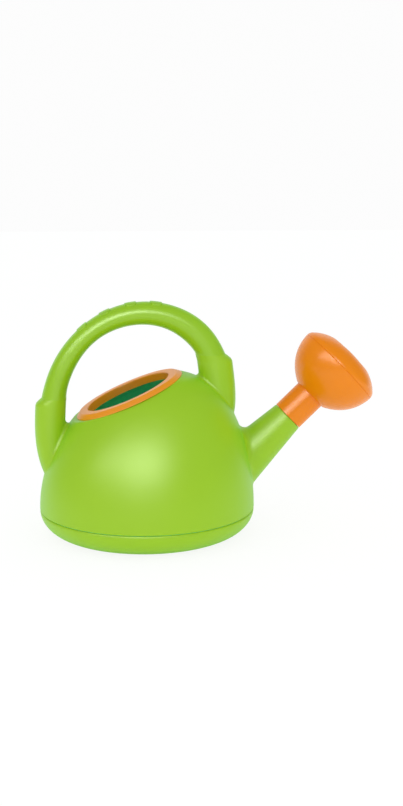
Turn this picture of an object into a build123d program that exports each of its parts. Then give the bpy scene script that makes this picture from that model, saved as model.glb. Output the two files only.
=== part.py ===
"""Moulded watering can: domed body, hoop handle, slanted filling mouth and pull-off rose.

Millimetres and degrees. The origin is the centre of the flat foot, +Z is up, and +X points to the spout.
"""

import os
from math import asin, cos, degrees, radians, sin, sqrt, tan

from build123d import *

os.makedirs("parts", exist_ok=True)

# Driving dimensions of the body
wall = 2.2
body_radius = 86.0
foot_radius = 61.0
seam_height = 20.4
waist_round = 132.8
crown_turn = 37.5
dome_shift = 15.0
waist_steps = 6
crown_steps = 6
crown_last_turn = 82.5
seam_edge_round = 1.0
pan_edge_round = 1.9
lap_height = 5.0
lap_wall = 2.0
lap_clearance = 0.1

# Driving dimensions of the filling mouth and its collar
mouth_tilt = 22.8
mouth_setback = 13.4
land_drop = 19.3
land_round = 0.8
mouth_radius = 34.7
collar_lip = 7.0
collar_flare = 3.5
collar_height = 3.4
collar_edge = 0.6
collar_skirt = 2.0
collar_clearance = 0.15
collar_bead = 0.45
collar_bead_height = 0.5
collar_outer_round = 1.2
collar_inner_round = 0.8

# Driving dimensions of the spout
spout_angle = 43.9
spout_drop = 70.5
spout_reach = 44.9
outlet_radius = 13.1
spout_taper = 6.4
spout_embed = 22.0
spout_fillet = 6.0
outlet_edge_round = 1.0
socket_radius = 10.6
socket_depth = 20.0

# Driving dimensions of the handle: bends are radius and turn, from the top of the hoop
hoop_top_x = -1.5
hoop_rise = 45.7
rear_bends = ((0.7907 * body_radius, 46.0), (0.9767 * body_radius, 35.0))
front_bends = ((0.6977 * body_radius, 42.0), (0.5698 * body_radius, 25.5))
rear_thickness = 19.4
slim_thickness = 16.0
front_thickness = 22.0
slim_turn = 38.0
rear_stations = (0.8, 0.55, 0.28)
front_stations = (0.35, 0.7)
grip_depth = 21.0
leg_depth = 24.0
leg_root_depth = 30.0
ledge_step = 4.3
ledge_height = 5.5
leg_fillet = 2.5
handle_wall = 2.4
handle_end_wall = 3.0
tenon_inset = 4.0
tenon_side_inset = 2.6
tenon_shift = 1.5
tenon_length = 16.0
tenon_clearance = 0.1
tenon_relief = 0.5
socket_cup_wall = 1.6
ledge_swell = ((0.0, 0.0), (0.3, 0.45), (0.65, 0.85), (1.0, 1.0))
leg_flare_drop = 38.0
rear_leg_bow = ((ledge_height, -0.5), (24.4, -1.3), (42.4, 0.0), (58.4, 4.2), (74.4, 13.4))
front_leg_bow = ((ledge_height, 1.4), (17.3, 2.9), (32.3, 4.1), (47.3, 3.1), (63.3, -4.5))
dowel_turns = (58.0, 12.0, -36.0)
dowel_radius = 1.6
dowel_boss_radius = 3.4
dowel_length = 5.0
dowel_clearance = 0.1
grip_pad_turns = (40.0, 24.0, 8.0, -8.0)
grip_pad_length = 9.0
grip_pad_width = 13.0
grip_pad_corner = 3.0
grip_pad_height = 0.7

# Driving dimensions of the rose, with stations along the spout's axis from its outlet
plug_length = 18.0
plug_clearance = 0.08
plug_wall = 1.8
seat_gap = 0.1
neck_radius = 13.2
neck_length = 24.9
neck_step = 1.2
bell_wall = 2.0
bell_root_bend = (47.7, 63.0, 50.0)
bell_rim_bend = (35.6, 50.0, 2.0)
rim_roll = 6.5
face_wall = 1.9
face_height = 14.9
face_disc_radius = 19.6
face_disc_recess = 0.7
face_disc_height = 2.3
face_roll_turn = 45.0
face_spigot_depth = 4.0
face_spigot_wall = 1.8
face_clearance = 0.1
rim_edge_round = 0.4
face_edge_round = 0.4
spray_hole_radius = 0.9
spray_rings = ((0.0, 1), (5.0, 6), (10.0, 12), (15.0, 18))
seal_section = 2.0
seal_squeeze_gap = 0.05
seal_station = 9.0
seal_groove_side = 0.2

# Section of the dome: a waist arc and a crown arc, tangent where they meet
waist_centre = (body_radius - waist_round, seam_height)
crown_round = waist_round - (waist_round - body_radius) / cos(radians(crown_turn))
crown_centre = (0.0, seam_height + (waist_round - crown_round) * sin(radians(crown_turn)))
crown_height = crown_centre[1] + crown_round
waist_turns = [crown_turn * step / waist_steps for step in range(waist_steps + 1)]
crown_step = (crown_last_turn - crown_turn) / crown_steps
crown_turns = [crown_turn + crown_step * (step + 1) for step in range(crown_steps)]


def lean_shift(height):
    """How far the dome has leaned towards the spout at a height."""
    return dome_shift * ((height - seam_height) / (crown_height - seam_height)) ** 2


def front_wall(height):
    """How far the front of the dome reaches at a height on its waist arc."""
    return waist_centre[0] + sqrt(waist_round**2 - (height - seam_height) ** 2) + lean_shift(height)


def dome_sections(inset):
    """Level sections of the dome, set in from the outside."""
    sections = []
    stations = [(waist_centre, waist_round, turn) for turn in waist_turns]
    stations += [(crown_centre, crown_round, turn) for turn in crown_turns]
    for centre, bend, turn in stations:
        height = centre[1] + (bend - inset) * sin(radians(turn))
        with BuildSketch(Plane(origin=(lean_shift(height), 0, height), x_dir=(0, 1, 0))) as section:
            Circle(centre[0] + (bend - inset) * cos(radians(turn)))
        sections.append(section.sketch)
    return sections


# The land is the slanted flat that the collar sits on
tilt = radians(mouth_tilt)
land_normal = Vector(-sin(tilt), 0, cos(tilt))
land_along = Vector(cos(tilt), 0, sin(tilt))
land_origin = Vector(-mouth_setback, 0, crown_height - land_drop)
land_plane = Plane(origin=land_origin, x_dir=land_along, z_dir=land_normal)
land_section = Plane(origin=land_origin, x_dir=land_along, z_dir=(0, -1, 0))
land_axis = Axis(land_origin, land_normal)
skirt_radius = mouth_radius + collar_skirt
mouth_hole_radius = skirt_radius + collar_clearance

# The spout's axis, and a drawing plane with stations along it
spout_direction = Vector(cos(radians(spout_angle)), 0, sin(radians(spout_angle)))
spout_root_height = crown_height - spout_drop
spout_root = Vector(front_wall(spout_root_height), 0, spout_root_height)
outlet = spout_root + spout_direction * spout_reach
spout_plane = Plane(origin=outlet, x_dir=spout_direction, z_dir=(0, -1, 0))
spout_axis = Axis(outlet, spout_direction)
spout_length = spout_reach + spout_embed
spout_root_radius = outlet_radius + spout_length * tan(radians(spout_taper))


# The hoop's middle line and its sections
hoop_top_z = crown_height + hoop_rise


def hoop_point(turn):
    """Centre of the hoop where it has turned this far from the top, positive towards the rear."""
    bends = rear_bends if turn > 0 else front_bends
    side = -1 if turn > 0 else 1
    x, z, start, left = hoop_top_x, hoop_top_z, 0.0, abs(turn)
    for radius, size in bends:
        step = min(left, size)
        end = start + step
        x += side * radius * (sin(radians(end)) - sin(radians(start)))
        z += radius * (cos(radians(end)) - cos(radians(start)))
        start = end
        left -= step
    return x, z


def hoop_thickness(turn):
    """Thickness of the hoop across its bend, slimmest a little behind the top."""
    if turn > slim_turn:
        share = (turn - slim_turn) / (rear_end - slim_turn)
        return slim_thickness + (rear_thickness - slim_thickness) * share**2
    share = (slim_turn - turn) / (slim_turn + front_end)
    return slim_thickness + (front_thickness - slim_thickness) * share


def hoop_depth(turn):
    """Depth of the hoop along Y, growing from the top to the legs."""
    share = turn / rear_end if turn > 0 else -turn / front_end
    return grip_depth + (leg_depth - grip_depth) * share**2


rear_end = sum(size for radius, size in rear_bends)
front_end = sum(size for radius, size in front_bends)
rear_x, rear_ledge = hoop_point(rear_end)
front_x, front_ledge = hoop_point(-front_end)
rear_half = rear_thickness / 2 / sin(radians(rear_end))
front_half = front_thickness / 2 / sin(radians(front_end))
hoop_turns = [rear_end * share for share in rear_stations] + [0.0]
hoop_turns += [-front_end * share for share in front_stations]


def hoop_sections(grow, lift):
    """Sections of the hoop from the rear ledge to the front one, grown by a margin."""
    sections = []
    for turn in (None, *hoop_turns, -front_end):
        if turn is None:
            plane = Plane(origin=(rear_x, 0, rear_ledge + lift))
            across = rear_half
            depth = leg_depth / 2
        elif turn == -front_end:
            plane = Plane(origin=(front_x, 0, front_ledge + lift), x_dir=(-1, 0, 0), z_dir=(0, 0, -1))
            across = front_half
            depth = leg_depth / 2
        else:
            x, z = hoop_point(turn)
            slope = radians(turn)
            inwards = (sin(slope), 0, -cos(slope))
            along_hoop = (cos(slope), 0, sin(slope))
            plane = Plane(origin=(x, 0, z), x_dir=inwards, z_dir=along_hoop)
            across = hoop_thickness(turn) / 2
            depth = hoop_depth(turn) / 2
        with BuildSketch(plane) as section:
            Ellipse(across + grow, depth + grow)
        sections.append(section.sketch)
    return sections


def leg_sections(path, x, ledge, half, outward, inset=0.0):
    """Sections of a leg socket down its path: drop below the ledge, shift and outward step."""
    sections = []
    for drop, shift, step in path:
        share = min(drop / leg_flare_drop, 1.0)
        depth = leg_depth + (leg_root_depth - leg_depth) * share
        centre = x + outward * step / 2 + shift
        with BuildSketch(Plane(origin=(centre, 0, ledge - drop), x_dir=(-outward, 0, 0))) as section:
            Ellipse(half + step / 2 - inset, depth / 2 - inset)
        sections.append(section.sketch)
    return sections


def leg_path(bow):
    """Path of a leg below its ledge."""
    return [(drop, shift, ledge_step) for drop, shift in bow]


def ledge_path(bow):
    """Path of a ledge, from the hoop's end out to the top of its leg."""
    drop, shift = bow[0]
    return [(drop * fall, shift * fall, ledge_step * out) for fall, out in ledge_swell]


rear_leg = (rear_x, rear_ledge, rear_half, -1)
front_leg = (front_x, front_ledge, front_half, 1)

# Inside of the tank, cut out of the dome
with BuildPart() as tank:
    loft(dome_sections(wall))
    split(bisect_by=land_plane.offset(-wall), keep=Keep.BOTTOM)

# Leg sockets, whose lower ends are cored out from inside the tank
cup_depth = tenon_length + tenon_relief + socket_cup_wall

with BuildPart() as rear_socket:
    loft(leg_sections(leg_path(rear_leg_bow), *rear_leg))
    loft(leg_sections(ledge_path(rear_leg_bow), *rear_leg), ruled=True)

with BuildPart() as front_socket:
    loft(leg_sections(leg_path(front_leg_bow), *front_leg))
    loft(leg_sections(ledge_path(front_leg_bow), *front_leg), ruled=True)

with BuildPart() as rear_core:
    loft(leg_sections(leg_path(rear_leg_bow), *rear_leg, inset=wall))
    split(bisect_by=Plane.XY.offset(rear_ledge - cup_depth), keep=Keep.BOTTOM)

with BuildPart() as front_core:
    loft(leg_sections(leg_path(front_leg_bow), *front_leg, inset=wall))
    split(bisect_by=Plane.XY.offset(front_ledge - cup_depth), keep=Keep.BOTTOM)

# Outside of the spout, from its outlet back into the dome
with BuildPart() as spout:
    with BuildSketch(spout_plane):
        Polygon(
            (0, 0),
            (0, outlet_radius),
            (-spout_length, spout_root_radius),
            (-spout_length, 0),
            align=None,
        )
    revolve(axis=spout_axis)
    fillet(spout.faces().sort_by(spout_axis)[-1].edges(), radius=outlet_edge_round)

# Dome: one moulding with the land, the leg sockets and the spout
with BuildPart() as dome_shell:
    loft(dome_sections(0))
    fillet(dome_shell.edges().group_by(Axis.Z)[0], radius=seam_edge_round)
    split(bisect_by=land_plane, keep=Keep.BOTTOM)
    fillet(dome_shell.faces().sort_by(land_axis)[-1].edges(), radius=land_round)
    for branch, radius in ((spout, spout_fillet), (rear_socket, leg_fillet), (front_socket, leg_fillet)):
        bare = dome_shell.part
        add(branch.part)
        fillet(new_edges(bare, branch.part, combined=dome_shell.part), radius=radius)
    add(tank.part, mode=Mode.SUBTRACT)
    add(rear_core.part, mode=Mode.SUBTRACT)
    add(front_core.part, mode=Mode.SUBTRACT)
    # Cups that take the handle's tenons
    for x, ledge, half, outward in (rear_leg, front_leg):
        cup_x = x + outward * tenon_shift
        pocket_half = half - tenon_inset + tenon_clearance
        pocket_depth = leg_depth / 2 - tenon_side_inset + tenon_clearance
        with BuildSketch(Plane.XY.offset(ledge - ledge_height)):
            with Locations((cup_x, 0)):
                Ellipse(pocket_half + socket_cup_wall, pocket_depth + socket_cup_wall)
        extrude(amount=ledge_height - cup_depth)
        with BuildSketch(Plane.XY.offset(ledge)):
            with Locations((cup_x, 0)):
                Ellipse(pocket_half, pocket_depth)
        extrude(amount=-tenon_length - tenon_relief, mode=Mode.SUBTRACT)
    # Mouth hole and the spout's bore, straight at the outlet and widening to the root
    with BuildSketch(land_plane):
        Circle(mouth_hole_radius)
    extrude(amount=2 * wall, both=True, mode=Mode.SUBTRACT)
    with BuildSketch(spout_plane):
        Polygon(
            (outlet_edge_round, 0),
            (outlet_edge_round, socket_radius),
            (-socket_depth, socket_radius),
            (-spout_length, spout_root_radius - wall),
            (-spout_length, 0),
            align=None,
        )
    revolve(axis=spout_axis, mode=Mode.SUBTRACT)

# Pan: the rounded bottom, with a lap that rises inside the dome's rim
lap_outer = waist_round - wall - lap_clearance
lap_turn = degrees(asin(lap_height / lap_outer))
lap_top = waist_centre[0] + lap_outer * cos(radians(lap_turn))
lap_inner = waist_centre[0] + lap_outer - lap_wall
foot_centre = (foot_radius, seam_height)
with BuildPart() as base_pan:
    with BuildSketch(Plane.XZ):
        with BuildLine():
            Polyline((0, wall), (0, 0), (foot_radius, 0))
            EllipticalCenterArc(foot_centre, body_radius - foot_radius, seam_height, -90, arc_size=90)
            Line((body_radius, seam_height), (waist_centre[0] + lap_outer, seam_height))
            CenterArc(waist_centre, lap_outer, 0, lap_turn)
            Polyline(
                (lap_top, seam_height + lap_height),
                (lap_inner, seam_height + lap_height),
                (lap_inner, seam_height),
            )
            EllipticalCenterArc(foot_centre, lap_inner - foot_radius, seam_height - wall, 0, arc_size=-90)
            Line((foot_radius, wall), (0, wall))
        make_face()
    revolve(axis=Axis.Z)
    rim_edges = base_pan.edges().filter_by_position(Axis.Z, seam_height, seam_height)
    fillet(rim_edges.sort_by(SortBy.LENGTH)[-1], radius=pan_edge_round)

# Handle before it is parted: hoop with grip pads and tenons, hollow inside
with BuildPart() as pad_skin:
    loft(hoop_sections(grip_pad_height, 0))

with BuildPart() as pad_blocks:
    for turn in grip_pad_turns:
        x, z = hoop_point(turn)
        slope = radians(turn)
        along_hoop = (cos(slope), 0, sin(slope))
        out_of_hoop = (-sin(slope), 0, cos(slope))
        with BuildSketch(Plane(origin=(x, 0, z), x_dir=along_hoop, z_dir=out_of_hoop)):
            RectangleRounded(grip_pad_length, grip_pad_width, grip_pad_corner)
        extrude(amount=front_thickness)

with BuildPart() as handle_core:
    loft(hoop_sections(-handle_wall, handle_end_wall))

with BuildPart() as handle:
    add(pad_skin.part)
    add(pad_blocks.part, mode=Mode.INTERSECT)
    loft(hoop_sections(0, 0))
    for x, ledge, half, outward in (rear_leg, front_leg):
        with BuildSketch(Plane.XY.offset(ledge)):
            with Locations((x + outward * tenon_shift, 0)):
                Ellipse(half - tenon_inset, leg_depth / 2 - tenon_side_inset)
        extrude(amount=-tenon_length)
    add(handle_core.part, mode=Mode.SUBTRACT)

# Dowel bosses stand in the hollow and end at the parting plane
dowel_points = [hoop_point(turn) for turn in dowel_turns]
with BuildPart() as handle_left_half:
    add(handle.part)
    split(bisect_by=Plane.XZ, keep=Keep.BOTTOM)
    with BuildSketch(Plane.XZ):
        with Locations(*dowel_points):
            Circle(dowel_boss_radius)
            Circle(dowel_radius + dowel_clearance, mode=Mode.SUBTRACT)
    extrude(amount=handle_wall / 2 - grip_depth / 2)

with BuildPart() as handle_right_half:
    add(handle.part)
    split(bisect_by=Plane.XZ, keep=Keep.TOP)
    with BuildSketch(Plane.XZ):
        with Locations(*dowel_points):
            Circle(dowel_boss_radius)
    extrude(amount=grip_depth / 2 - handle_wall / 2)
    with BuildSketch(Plane.XZ):
        with Locations(*dowel_points):
            Circle(dowel_radius)
    extrude(amount=-dowel_length)

# Collar: a lipped ring whose bead snaps under the mouth's edge
lip_radius = mouth_radius + collar_lip
bead_top = -wall - collar_clearance
skirt_foot = bead_top - collar_bead_height
with BuildPart() as fill_collar:
    with BuildSketch(land_section):
        with BuildLine():
            Polyline(
                (mouth_radius, skirt_foot),
                (skirt_radius, skirt_foot),
                (skirt_radius + collar_bead, (skirt_foot + bead_top) / 2),
                (skirt_radius, bead_top),
                (skirt_radius, 0),
                (lip_radius + collar_flare, 0),
                (lip_radius + collar_flare, collar_edge),
                (lip_radius, collar_height),
                (mouth_radius, collar_height),
                close=True,
            )
        make_face()
    revolve(axis=land_axis)
    for pick, radius in ((-1, collar_outer_round), (0, collar_inner_round)):
        top_edges = fill_collar.faces().sort_by(land_axis)[-1].edges().sort_by(SortBy.RADIUS)
        fillet(top_edges[pick], radius=radius)

# Section of the bell: a root arc and a rim arc, tangent where they meet
root_round, root_from, root_to = bell_root_bend
rim_round, rim_from, rim_to = bell_rim_bend
root_start = (neck_length, neck_radius + neck_step)
root_centre = (
    root_start[0] + root_round * sin(radians(root_from)),
    root_start[1] - root_round * cos(radians(root_from)),
)


def bell_bend(centre, radius, turn):
    """Point of a bell arc where its slope is this far from the axis."""
    return centre[0] - radius * sin(radians(turn)), centre[1] + radius * cos(radians(turn))


root_finish = bell_bend(root_centre, root_round, root_to)
rim_centre = bell_bend(root_finish, -rim_round, rim_from)
rim_finish = bell_bend(rim_centre, rim_round, rim_to)
roll_centre = bell_bend(rim_finish, -rim_roll, rim_to)
rim_point = bell_bend(roll_centre, rim_roll, 0)
rim_station = rim_point[0]
rim_inside = rim_centre[1] + sqrt((rim_round - bell_wall) ** 2 - (rim_station - rim_centre[0]) ** 2)
rim_inside_turn = degrees(asin((rim_centre[0] - rim_station) / (rim_round - bell_wall)))
plug_radius = socket_radius - plug_clearance
groove_radius = socket_radius - 2 * seal_squeeze_gap - seal_section
bore_radius = groove_radius - plug_wall
neck_bore = neck_radius - bell_wall
inside_root = bell_bend(root_centre, root_round - bell_wall, root_from)

with BuildPart() as rose_bell:
    with BuildSketch(spout_plane):
        with BuildLine():
            Polyline(
                (inside_root[0], neck_bore),
                (neck_bore - bore_radius + seat_gap, neck_bore),
                (seat_gap, bore_radius),
                (-plug_length, bore_radius),
                (-plug_length, plug_radius),
                (-seal_station - seal_section / 2 - seal_groove_side, plug_radius),
                (-seal_station - seal_section / 2 - seal_groove_side, groove_radius),
                (-seal_station + seal_section / 2 + seal_groove_side, groove_radius),
                (-seal_station + seal_section / 2 + seal_groove_side, plug_radius),
                (seat_gap, plug_radius),
                (seat_gap, neck_radius),
                (neck_length, neck_radius),
                root_start,
            )
            CenterArc(root_centre, root_round, 90 + root_from, root_to - root_from)
            CenterArc(rim_centre, rim_round, 90 + rim_from, rim_to - rim_from)
            CenterArc(roll_centre, rim_roll, 90 + rim_to, -rim_to)
            Line(rim_point, (rim_station, rim_inside))
            CenterArc(rim_centre, rim_round - bell_wall, 90 + rim_inside_turn, rim_from - rim_inside_turn)
            CenterArc(root_centre, root_round - bell_wall, 90 + root_to, root_from - root_to)
            Line(inside_root, (inside_root[0], neck_bore))
        make_face()
    revolve(axis=spout_axis)
    rim_edges = rose_bell.faces().sort_by(spout_axis)[-1].edges()
    fillet(rim_edges.sort_by(SortBy.RADIUS)[-1], radius=rim_edge_round)

# Face: a rounded ring round a sunk, holed disc, with a spigot inside the bell's rim
apex = rim_station + face_height
disc_edge = apex - face_disc_height
ring_edge = disc_edge + face_disc_recess
spigot_foot = rim_station - face_spigot_depth
spigot_drop = rim_centre[0] - spigot_foot
spigot_radius = rim_centre[1] + sqrt((rim_round - bell_wall) ** 2 - spigot_drop**2) - face_clearance
spigot_inner = spigot_radius - face_spigot_wall
inside_apex = apex - face_wall
roll_finish = bell_bend(roll_centre, rim_roll, -face_roll_turn)
roll_slope = (cos(radians(face_roll_turn)), -sin(radians(face_roll_turn)))
inside_edge = roll_finish[0]


def cap_round(radius, rise):
    """Radius of the ball that a shallow cap is cut from."""
    return (radius**2 + rise**2) / (2 * rise)


disc_round = cap_round(face_disc_radius, face_disc_height)
disc_turn = degrees(asin(face_disc_radius / disc_round))
inside_round = cap_round(spigot_inner, inside_apex - inside_edge)
inside_turn = degrees(asin(spigot_inner / inside_round))
face_plane = Plane(origin=outlet + spout_direction * rim_station, x_dir=(0, 1, 0), z_dir=spout_direction)
with BuildPart() as rose_face:
    with BuildSketch(spout_plane):
        with BuildLine():
            CenterArc((apex - disc_round, 0), disc_round, 0, disc_turn)
            Line((disc_edge, face_disc_radius), (ring_edge, face_disc_radius))
            TangentArc(roll_finish, (ring_edge, face_disc_radius), tangent=roll_slope)
            CenterArc(roll_centre, rim_roll, 90 - face_roll_turn, face_roll_turn)
            Polyline(
                rim_point,
                (rim_station, spigot_radius),
                (spigot_foot, spigot_radius),
                (spigot_foot, spigot_inner),
                (inside_edge, spigot_inner),
            )
            CenterArc((inside_apex - inside_round, 0), inside_round, 0, inside_turn)
            Line((inside_apex, 0), (apex, 0))
        make_face()
    revolve(axis=spout_axis)
    seat_edges = rose_face.faces().filter_by(GeomType.PLANE).sort_by(SortBy.AREA)[-1].edges()
    fillet(seat_edges.sort_by(SortBy.RADIUS)[-1], radius=face_edge_round)
    with BuildSketch(face_plane):
        for ring_radius, count in spray_rings:
            with PolarLocations(ring_radius, count):
                Circle(spray_hole_radius)
    extrude(amount=2 * face_height, mode=Mode.SUBTRACT)

# Seal: a ring in the groove of the plug
with BuildPart() as rose_seal:
    with BuildSketch(spout_plane):
        with Locations((-seal_station, socket_radius - seal_squeeze_gap - seal_section / 2)):
            Circle(seal_section / 2)
    revolve(axis=spout_axis)

nodes = {
    "dome_shell": dome_shell,
    "base_pan": base_pan,
    "handle_left_half": handle_left_half,
    "handle_right_half": handle_right_half,
    "fill_collar": fill_collar,
    "rose_bell": rose_bell,
    "rose_face": rose_face,
    "rose_seal": rose_seal,
}
for name, node in nodes.items():
    node.part.label = name
    export_step(node.part, f"parts/{name}.step")
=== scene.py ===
from math import cos, radians, sin

import bpy
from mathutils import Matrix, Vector

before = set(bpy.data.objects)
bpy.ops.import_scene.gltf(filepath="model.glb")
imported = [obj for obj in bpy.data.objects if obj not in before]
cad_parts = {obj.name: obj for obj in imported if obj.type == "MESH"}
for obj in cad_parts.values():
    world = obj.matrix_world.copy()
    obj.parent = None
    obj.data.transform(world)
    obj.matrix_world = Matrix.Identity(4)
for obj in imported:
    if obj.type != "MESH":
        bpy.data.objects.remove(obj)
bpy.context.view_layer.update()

# The dome, with its stub spout and the two leg sockets, is one hollow moulding in grass-green plastic.
# It comes from a lightly blasted mould, so its satin skin has a very fine grain and no flow lines.
# Inside the tank the colour is painted light: a cooler, brighter green stands in for the light that has come
# through the wall and off it many times, which looks cooler and deeper.
TANK_GREEN = (0.330, 0.556, 0.004, 1.0)
TANK_GREEN_DEEP = (0.314, 0.538, 0.004, 1.0)
TANK_INSIDE_PAINTED_LIGHT = (0.200, 0.970, 0.620, 1.0)
GREEN_GLOW = (0.02, 0.90, 0.14, 1.0)
TANK_ROUGH = (0.36, 0.42)
TANK_GLOSS = 0.42
GREEN_GRAIN_DEPTH = 0.00012


def add_node(tree, kind, place, **values):
    """Add a node to a tree, with values for its plain settings."""
    node = tree.nodes.new(kind)
    node.location = place
    for name, value in values.items():
        setattr(node, name, value)
    return node


# The grain is under a millimetre across, and the tint and gloss drift slowly over about 70 mm.
GRAIN_SCALE = 1500.0
GRAIN_DETAIL = 3.0
DRIFT_SCALE = 14.0
DRIFT_DETAIL = 2.0


def moulded_grain_group():
    """Grain of a blasted mould: a fine height, a drifting tint and a drifting gloss."""
    group = bpy.data.node_groups.new("moulded_grain", "ShaderNodeTree")
    for label in ("Grain scale", "Drift scale", "Roughness low", "Roughness high"):
        group.interface.new_socket(label, in_out="INPUT", socket_type="NodeSocketFloat")
    for label in ("Height", "Tint", "Roughness"):
        group.interface.new_socket(label, in_out="OUTPUT", socket_type="NodeSocketFloat")
    inlet = add_node(group, "NodeGroupInput", (-700, 0))
    outlet = add_node(group, "NodeGroupOutput", (500, 0))
    place = add_node(group, "ShaderNodeTexCoord", (-700, 300))
    grain = add_node(group, "ShaderNodeTexNoise", (-400, 250))
    grain.inputs["Detail"].default_value = GRAIN_DETAIL
    drift = add_node(group, "ShaderNodeTexNoise", (-400, -150))
    drift.inputs["Detail"].default_value = DRIFT_DETAIL
    gloss = add_node(group, "ShaderNodeMapRange", (0, -250))
    links = group.links
    links.new(place.outputs["Object"], grain.inputs["Vector"])
    links.new(place.outputs["Object"], drift.inputs["Vector"])
    links.new(inlet.outputs["Grain scale"], grain.inputs["Scale"])
    links.new(inlet.outputs["Drift scale"], drift.inputs["Scale"])
    links.new(drift.outputs["Fac"], gloss.inputs["Value"])
    links.new(inlet.outputs["Roughness low"], gloss.inputs["To Min"])
    links.new(inlet.outputs["Roughness high"], gloss.inputs["To Max"])
    links.new(grain.outputs["Fac"], outlet.inputs["Height"])
    links.new(drift.outputs["Fac"], outlet.inputs["Tint"])
    links.new(gloss.outputs["Result"], outlet.inputs["Roughness"])
    return group


moulded_grain = moulded_grain_group()

# The tank's sizes in metres: the two arcs of the dome's section, which leans forward as it rises,
# the pan's foot and the reach of its round, the slanted land at the mouth, and half of the wall.
SEAM_HEIGHT = 0.0204
WAIST_ROUND = 0.1328
WAIST_OFFSET = -0.0468
CROWN_ROUND = 0.0738
CROWN_HEIGHT = 0.0563
CROWN_START = 0.1012
CROWN_TOP = 0.1301
DOME_SHIFT = 0.015
FOOT_RADIUS = 0.061
PAN_REACH = 0.025
LAND_CENTRE = (-0.0134, 0.0, 0.1108)
LAND_NORMAL = (-0.3875, 0.0, 0.9219)
HALF_WALL = 0.0011


def painted_inside_light_group():
    """Mask for the painted light inside the tank: deeper than half a wall below the dome, the land and the
    pan.
    """
    group = bpy.data.node_groups.new("painted_inside_light", "ShaderNodeTree")
    group.interface.new_socket("Inside", in_out="OUTPUT", socket_type="NodeSocketFloat")
    links = group.links

    def maths(place, operation, *values):
        """A maths node whose inputs are numbers or other nodes' outputs."""
        node = add_node(group, "ShaderNodeMath", place, operation=operation)
        for slot, value in enumerate(values):
            if isinstance(value, (int, float)):
                node.inputs[slot].default_value = value
            else:
                links.new(value, node.inputs[slot])
        return node.outputs[0]

    def reach(place, across, up):
        """Length of an offset that goes across and up."""
        joined = add_node(group, "ShaderNodeCombineXYZ", place)
        links.new(across, joined.inputs["X"])
        links.new(up, joined.inputs["Y"])
        length = add_node(group, "ShaderNodeVectorMath", (place[0] + 180, place[1]), operation="LENGTH")
        links.new(joined.outputs[0], length.inputs[0])
        return length.outputs["Value"]

    spot = add_node(group, "ShaderNodeTexCoord", (-1600, 0)).outputs["Object"]
    parts = add_node(group, "ShaderNodeSeparateXYZ", (-1400, 0))
    links.new(spot, parts.inputs[0])
    x, y, z = parts.outputs["X"], parts.outputs["Y"], parts.outputs["Z"]

    # The radius from the dome's leaning axis.
    above_seam = maths((-1200, -200), "SUBTRACT", z, SEAM_HEIGHT)
    lean_share = maths((-1000, -200), "DIVIDE", above_seam, CROWN_TOP - SEAM_HEIGHT)
    lean_square = maths((-800, -200), "MULTIPLY", lean_share, lean_share)
    lean = maths((-600, -200), "MULTIPLY", lean_square, DOME_SHIFT)
    radius = reach((-200, 100), maths((-400, 100), "SUBTRACT", x, lean), y)

    # Above the seam: within the waist's arc, within the crown's arc where it takes over, and below the land.
    from_waist = reach((200, 300), maths((0, 300), "SUBTRACT", radius, WAIST_OFFSET), above_seam)
    from_crown = reach((200, 0), radius, maths((0, 0), "SUBTRACT", z, CROWN_HEIGHT))
    in_waist = maths((800, 300), "LESS_THAN", from_waist, WAIST_ROUND - HALF_WALL)
    in_crown = maths((800, 0), "LESS_THAN", from_crown, CROWN_ROUND - HALF_WALL)
    below_crown = maths((800, 150), "LESS_THAN", z, CROWN_START)
    in_top = maths((1000, 50), "MAXIMUM", in_crown, below_crown)
    land_offset = add_node(group, "ShaderNodeVectorMath", (450, 600), operation="SUBTRACT")
    land_offset.inputs[1].default_value = LAND_CENTRE
    links.new(spot, land_offset.inputs[0])
    land_height = add_node(group, "ShaderNodeVectorMath", (650, 600), operation="DOT_PRODUCT")
    land_height.inputs[1].default_value = LAND_NORMAL
    links.new(land_offset.outputs[0], land_height.inputs[0])
    below_land = maths((850, 600), "LESS_THAN", land_height.outputs["Value"], -HALF_WALL)
    in_dome = maths((1050, 300), "MULTIPLY", in_waist, in_top)
    in_shell = maths((1200, 300), "MULTIPLY", in_dome, below_land)

    # Below the seam: within the pan's round, which is a quarter of an ellipse beyond the foot.
    past_foot = maths((0, -300), "MAXIMUM", maths((-200, -300), "SUBTRACT", radius, FOOT_RADIUS), 0.0)
    pan_across = maths((200, -300), "DIVIDE", past_foot, PAN_REACH - HALF_WALL)
    pan_up = maths((200, -500), "DIVIDE", above_seam, SEAM_HEIGHT - HALF_WALL)
    in_pan = maths((800, -400), "LESS_THAN", reach((450, -400), pan_across, pan_up), 1.0)

    below_seam = maths((1000, -200), "LESS_THAN", above_seam, 0.0)
    inside = add_node(group, "ShaderNodeMix", (1400, 0), data_type="FLOAT")
    links.new(below_seam, inside.inputs["Factor"])
    links.new(in_shell, inside.inputs["A"])
    links.new(in_pan, inside.inputs["B"])
    outlet = add_node(group, "NodeGroupOutput", (1600, 0))
    links.new(inside.outputs["Result"], outlet.inputs["Inside"])
    return group


# The plastic's own values. The sheen stands in for the light that glows out of it towards the outline.
PLASTIC_IOR = 1.5
SHEEN_WEIGHT = 0.25
SHEEN_ROUGHNESS = 0.5
GRAIN_STRENGTH = 0.25


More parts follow.
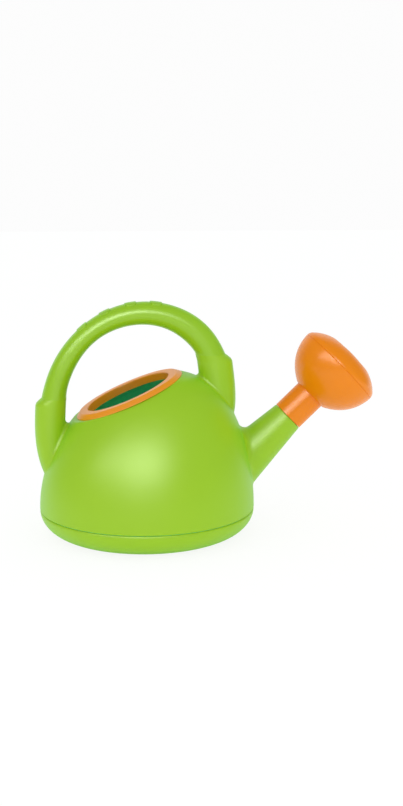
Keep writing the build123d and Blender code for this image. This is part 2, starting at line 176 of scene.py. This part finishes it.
def moulded_plastic(name, colour, deep, glow, rough, gloss, grain_depth):
    """Satin moulded plastic with the mould's grain in its skin."""
    material = bpy.data.materials.new(name)
    material.use_nodes = True
    tree = material.node_tree
    shader = tree.nodes["Principled BSDF"]
    shader.inputs["IOR"].default_value = PLASTIC_IOR
    shader.inputs["Specular IOR Level"].default_value = gloss
    shader.inputs["Sheen Weight"].default_value = SHEEN_WEIGHT
    shader.inputs["Sheen Roughness"].default_value = SHEEN_ROUGHNESS
    shader.inputs["Sheen Tint"].default_value = glow
    grain = add_node(tree, "ShaderNodeGroup", (-700, 0), node_tree=moulded_grain)
    grain.inputs["Grain scale"].default_value = GRAIN_SCALE
    grain.inputs["Drift scale"].default_value = DRIFT_SCALE
    grain.inputs["Roughness low"].default_value = rough[0]
    grain.inputs["Roughness high"].default_value = rough[1]
    tint = add_node(tree, "ShaderNodeMix", (-350, 200), data_type="RGBA")
    tint.inputs["A"].default_value = deep
    tint.inputs["B"].default_value = colour
    bump = add_node(tree, "ShaderNodeBump", (-350, -250))
    bump.inputs["Strength"].default_value = GRAIN_STRENGTH
    bump.inputs["Distance"].default_value = grain_depth
    tree.links.new(grain.outputs["Tint"], tint.inputs["Factor"])
    tree.links.new(tint.outputs["Result"], shader.inputs["Base Color"])
    tree.links.new(grain.outputs["Roughness"], shader.inputs["Roughness"])
    tree.links.new(grain.outputs["Height"], bump.inputs["Height"])
    tree.links.new(bump.outputs["Normal"], shader.inputs["Normal"])
    return material


def dress(node, material):
    """Give a CAD node its finish."""
    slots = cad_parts[node].data.materials
    slots.clear()
    slots.append(material)


tank_plastic = moulded_plastic(
    "green_tank_plastic",
    colour=TANK_GREEN,
    deep=TANK_GREEN_DEEP,
    glow=GREEN_GLOW,
    rough=TANK_ROUGH,
    gloss=TANK_GLOSS,
    grain_depth=GREEN_GRAIN_DEPTH,
)
tank_tree = tank_plastic.node_tree
tank_colour = tank_tree.nodes["Principled BSDF"].inputs["Base Color"]
# Painted light: the tank's inside faces are tinted a cooler, brighter green that stands in for light come
# through the wall and bounced inside.
painted_inside_light = add_node(tank_tree, "ShaderNodeGroup", (-350, 500), node_tree=painted_inside_light_group())
painted_inside_tone = add_node(tank_tree, "ShaderNodeMix", (-150, 400), data_type="RGBA")
painted_inside_tone.inputs["B"].default_value = TANK_INSIDE_PAINTED_LIGHT
tank_tree.links.new(painted_inside_light.outputs["Inside"], painted_inside_tone.inputs["Factor"])
tank_tree.links.new(tank_colour.links[0].from_socket, painted_inside_tone.inputs["A"])
tank_tree.links.new(painted_inside_tone.outputs["Result"], tank_colour)
dress("dome_shell", tank_plastic)

# The base pan is the rounded bottom. It is moulded in the same green plastic and cemented into the dome
# by a lap inside the rim, so that only a fine groove shows between the two.
dress("base_pan", tank_plastic)

# The handle is a hollow hoop in two halves that part on the can's middle plane.
# They are moulded in the same green plastic, with a slightly glossier skin than the tank's, and their green
# is painted a little darker than the tank's as painted shade, to tone down the light the hoop catches.
# Dowels line the halves up, and their tenons are cemented into the leg sockets.
HANDLE_GREEN_SHADED = (0.304, 0.538, 0.004, 1.0)
HANDLE_GREEN_SHADED_DEEP = (0.292, 0.522, 0.004, 1.0)
HANDLE_ROUGH = (0.3, 0.35)
HANDLE_GLOSS = 0.55
handle_plastic = moulded_plastic(
    "green_handle_plastic",
    colour=HANDLE_GREEN_SHADED,
    deep=HANDLE_GREEN_SHADED_DEEP,
    glow=GREEN_GLOW,
    rough=HANDLE_ROUGH,
    gloss=HANDLE_GLOSS,
    grain_depth=GREEN_GRAIN_DEPTH,
)
dress("handle_left_half", handle_plastic)
dress("handle_right_half", handle_plastic)

# The collar is a ring moulded in orange plastic, which frames the slanted mouth with a broad lip.
# Its skirt snaps into the mouth, and a small bead behind the edge keeps it there.
COLLAR_ORANGE = (0.87, 0.292, 0.002, 1.0)
COLLAR_ORANGE_DEEP = (0.84, 0.278, 0.002, 1.0)
ORANGE_GLOW = (0.90, 0.25, 0.02, 1.0)
COLLAR_ROUGH = (0.3, 0.37)
COLLAR_GLOSS = 0.6
ORANGE_GRAIN_DEPTH = 0.0001
collar_plastic = moulded_plastic(
    "collar_plastic",
    colour=COLLAR_ORANGE,
    deep=COLLAR_ORANGE_DEEP,
    glow=ORANGE_GLOW,
    rough=COLLAR_ROUGH,
    gloss=COLLAR_GLOSS,
    grain_depth=ORANGE_GRAIN_DEPTH,
)
dress("fill_collar", collar_plastic)

# The rose is moulded in a redder orange plastic from a smoother mould: a bell with its neck and plug,
# and a domed, holed face that snaps into the bell's rim.
# The plug pushes into the spout, where the rose can turn, and pulls off for cleaning.
ROSE_ORANGE = (0.88, 0.238, 0.001, 1.0)
ROSE_ORANGE_DEEP = (0.85, 0.225, 0.001, 1.0)
ROSE_ROUGH = (0.21, 0.27)
ROSE_GLOSS = 0.32
rose_plastic = moulded_plastic(
    "rose_plastic",
    colour=ROSE_ORANGE,
    deep=ROSE_ORANGE_DEEP,
    glow=ORANGE_GLOW,
    rough=ROSE_ROUGH,
    gloss=ROSE_GLOSS,
    grain_depth=ORANGE_GRAIN_DEPTH,
)
dress("rose_bell", rose_plastic)
dress("rose_face", rose_plastic)

# The seal is a ring of dull black rubber, moulded in one piece and stretched into the plug's groove.
# It grips the spout's bore, which holds the rose on and keeps the water in.
RUBBER = (0.03, 0.03, 0.03, 1.0)
RUBBER_DEEP = (0.02, 0.02, 0.02, 1.0)
RUBBER_ROUGH = (0.6, 0.75)
RUBBER_GLOSS = 0.5
RUBBER_GRAIN_DEPTH = 0.00005
seal_rubber = moulded_plastic(
    "seal_rubber",
    colour=RUBBER,
    deep=RUBBER_DEEP,
    glow=RUBBER,
    rough=RUBBER_ROUGH,
    gloss=RUBBER_GLOSS,
    grain_depth=RUBBER_GRAIN_DEPTH,
)
dress("rose_seal", seal_rubber)

# The studio floor is a white table, lit softly from below, that keeps the can's faint shadow.
# The camera sees it mostly at its own white, so that the picture has no grey gradient.
FLOOR_HALF = 6.0
FLOOR_WHITE = (0.9, 0.9, 0.9, 1.0)
FLOOR_ROUGH = 0.9
FLOOR_SEEN_SHARE = 0.85
TABLE_LIGHT = 0.2
FULL_WHITE = (1.0, 1.0, 1.0, 1.0)
floor_mesh = bpy.data.meshes.new("studio_floor")
floor_corners = [(-FLOOR_HALF, -FLOOR_HALF, 0), (FLOOR_HALF, -FLOOR_HALF, 0)]
floor_corners += [(FLOOR_HALF, FLOOR_HALF, 0), (-FLOOR_HALF, FLOOR_HALF, 0)]
floor_mesh.from_pydata(floor_corners, [], [(0, 1, 2, 3)])
floor = bpy.data.objects.new("studio_floor", floor_mesh)
bpy.context.scene.collection.objects.link(floor)
floor_paint = bpy.data.materials.new("studio_floor_paint")
floor_paint.use_nodes = True
floor_tree = floor_paint.node_tree
floor_shader = floor_tree.nodes["Principled BSDF"]
floor_shader.inputs["Base Color"].default_value = FLOOR_WHITE
floor_shader.inputs["Roughness"].default_value = FLOOR_ROUGH
floor_shader.inputs["Emission Color"].default_value = FULL_WHITE
floor_shader.inputs["Emission Strength"].default_value = TABLE_LIGHT
floor_glow = add_node(floor_tree, "ShaderNodeEmission", (0, -400))
floor_glow.inputs["Color"].default_value = FULL_WHITE
floor_rays = add_node(floor_tree, "ShaderNodeLightPath", (-500, 300))
floor_seen = add_node(floor_tree, "ShaderNodeMath", (-250, 300), operation="MULTIPLY")
floor_seen.inputs[1].default_value = FLOOR_SEEN_SHARE
floor_mix = add_node(floor_tree, "ShaderNodeMixShader", (350, 0))
floor_tree.links.new(floor_rays.outputs["Is Camera Ray"], floor_seen.inputs[0])
floor_tree.links.new(floor_seen.outputs[0], floor_mix.inputs["Fac"])
floor_tree.links.new(floor_shader.outputs[0], floor_mix.inputs[1])
floor_tree.links.new(floor_glow.outputs[0], floor_mix.inputs[2])
floor_tree.links.new(floor_mix.outputs[0], floor_tree.nodes["Material Output"].inputs["Surface"])
floor_mesh.materials.append(floor_paint)

# The surround is the even light of a white tent. Glossy faces see the white backdrop behind the can and a
# dimmer room in front, so that they keep their colour and the outline catches pale rims.
TENT_TINT = (0.95, 1.0, 0.97, 1.0)
TENT_LIGHT = 0.95
BACKDROP_WHITE = (0.98, 0.98, 0.98, 1.0)
BACKDROP_GLOSS = 0.95
BACKDROP_EDGE = (0.45, 0.9)
ROOM_GLOSS = 0.06
world = bpy.data.worlds.new("studio_surround")
bpy.context.scene.world = world
world.use_nodes = True
surround = world.node_tree
surround.nodes.clear()
sky_out = add_node(surround, "ShaderNodeOutputWorld", (900, 0))
sky_light = add_node(surround, "ShaderNodeBackground", (300, -150))
sky_light.inputs["Color"].default_value = TENT_TINT
sky_light.inputs["Strength"].default_value = TENT_LIGHT
sky_seen = add_node(surround, "ShaderNodeBackground", (300, 150))
sky_seen.inputs["Color"].default_value = BACKDROP_WHITE
sky_mix = add_node(surround, "ShaderNodeMixShader", (650, 0))
rays = add_node(surround, "ShaderNodeLightPath", (-800, 300))
direct_rays = add_node(surround, "ShaderNodeMath", (-500, 450), operation="MAXIMUM")
seen_rays = add_node(surround, "ShaderNodeMath", (-250, 450), operation="MAXIMUM")
direction = add_node(surround, "ShaderNodeTexCoord", (-800, -100))
direction_parts = add_node(surround, "ShaderNodeSeparateXYZ", (-550, -100))
room = add_node(surround, "ShaderNodeMapRange", (-300, -100), interpolation_type="SMOOTHSTEP")
room.inputs["From Min"].default_value = BACKDROP_EDGE[0]
room.inputs["From Max"].default_value = BACKDROP_EDGE[1]
room.inputs["To Min"].default_value = ROOM_GLOSS
room.inputs["To Max"].default_value = BACKDROP_GLOSS
seen_strength = add_node(surround, "ShaderNodeMath", (0, 150), operation="MAXIMUM")
surround.links.new(rays.outputs["Is Camera Ray"], direct_rays.inputs[0])
surround.links.new(rays.outputs["Is Transmission Ray"], direct_rays.inputs[1])
surround.links.new(direct_rays.outputs[0], seen_rays.inputs[0])
surround.links.new(rays.outputs["Is Glossy Ray"], seen_rays.inputs[1])
surround.links.new(direction.outputs["Generated"], direction_parts.inputs[0])
surround.links.new(direction_parts.outputs["Y"], room.inputs["Value"])
surround.links.new(direct_rays.outputs[0], seen_strength.inputs[0])
surround.links.new(room.outputs["Result"], seen_strength.inputs[1])
surround.links.new(seen_strength.outputs[0], sky_seen.inputs["Strength"])
surround.links.new(seen_rays.outputs[0], sky_mix.inputs["Fac"])
surround.links.new(sky_light.outputs[0], sky_mix.inputs[1])
surround.links.new(sky_seen.outputs[0], sky_mix.inputs[2])
surround.links.new(sky_mix.outputs[0], sky_out.inputs["Surface"])

# Soft round boxes hang in front. The wide one adds a little shape to the even light, and the gloss boxes are
# bright reflectors that show only in the plastic's sheen. The fill stands on the spout's side.
CAN_MIDDLE = Vector((0.02, 0.0, 0.09))
WHITE_LAMP = (1.0, 1.0, 1.0)
FILL_LAMP = (0.4, 1.0, 0.55)


def soft_lamp(name, turn, rise, distance, size, power, tint=WHITE_LAMP, gloss_only=False):
    """A soft box that faces the can, turned from the front towards the spout and raised by degrees."""
    level = distance * cos(radians(rise))
    offset = Vector((level * sin(radians(turn)), -level * cos(radians(turn)), distance * sin(radians(rise))))
    lamp = bpy.data.lights.new(name, "AREA")
    lamp.shape = "ELLIPSE"
    lamp.size, lamp.size_y = size
    lamp.energy = power
    lamp.color = tint
    holder = bpy.data.objects.new(name, lamp)
    holder.location = CAN_MIDDLE + offset
    holder.visible_diffuse = not gloss_only
    holder.rotation_euler = (-offset).to_track_quat("-Z", "Y").to_euler()
    bpy.context.scene.collection.objects.link(holder)


soft_lamp("wide_box", turn=-28.0, rise=34.0, distance=1.3, size=(1.7, 0.6), power=1.2)
soft_lamp("fill_box", turn=62.0, rise=24.0, distance=1.4, size=(1.3, 1.3), power=0.9, tint=FILL_LAMP)
soft_lamp("wide_gloss", turn=-30.0, rise=35.0, distance=1.3, size=(2.0, 0.45), power=14.0, gloss_only=True)
soft_lamp("key_gloss", turn=-8.0, rise=28.5, distance=1.25, size=(1.1, 0.64), power=7.2, gloss_only=True)

# The camera stands where the photograph was taken from: about 0.9 m off, a little above the can and a
# little to its rear. It has no shift and no depth of field, and colours show as they are written.
VIEW_TARGET = Vector((0.0441, 0.0, 0.1030))
VIEW_PLACE = Vector((-0.0646, -0.893, 0.275))
VIEW_LENS = 51.1
SENSOR_WIDTH = 36.0
camera_data = bpy.data.cameras.new("photo_camera")
camera_data.lens = VIEW_LENS
camera_data.sensor_width = SENSOR_WIDTH
camera = bpy.data.objects.new("photo_camera", camera_data)
camera.location = VIEW_PLACE
camera.rotation_euler = (VIEW_TARGET - VIEW_PLACE).to_track_quat("-Z", "Y").to_euler()
bpy.context.scene.collection.objects.link(camera)
bpy.context.scene.camera = camera
bpy.context.scene.view_settings.view_transform = "Standard"
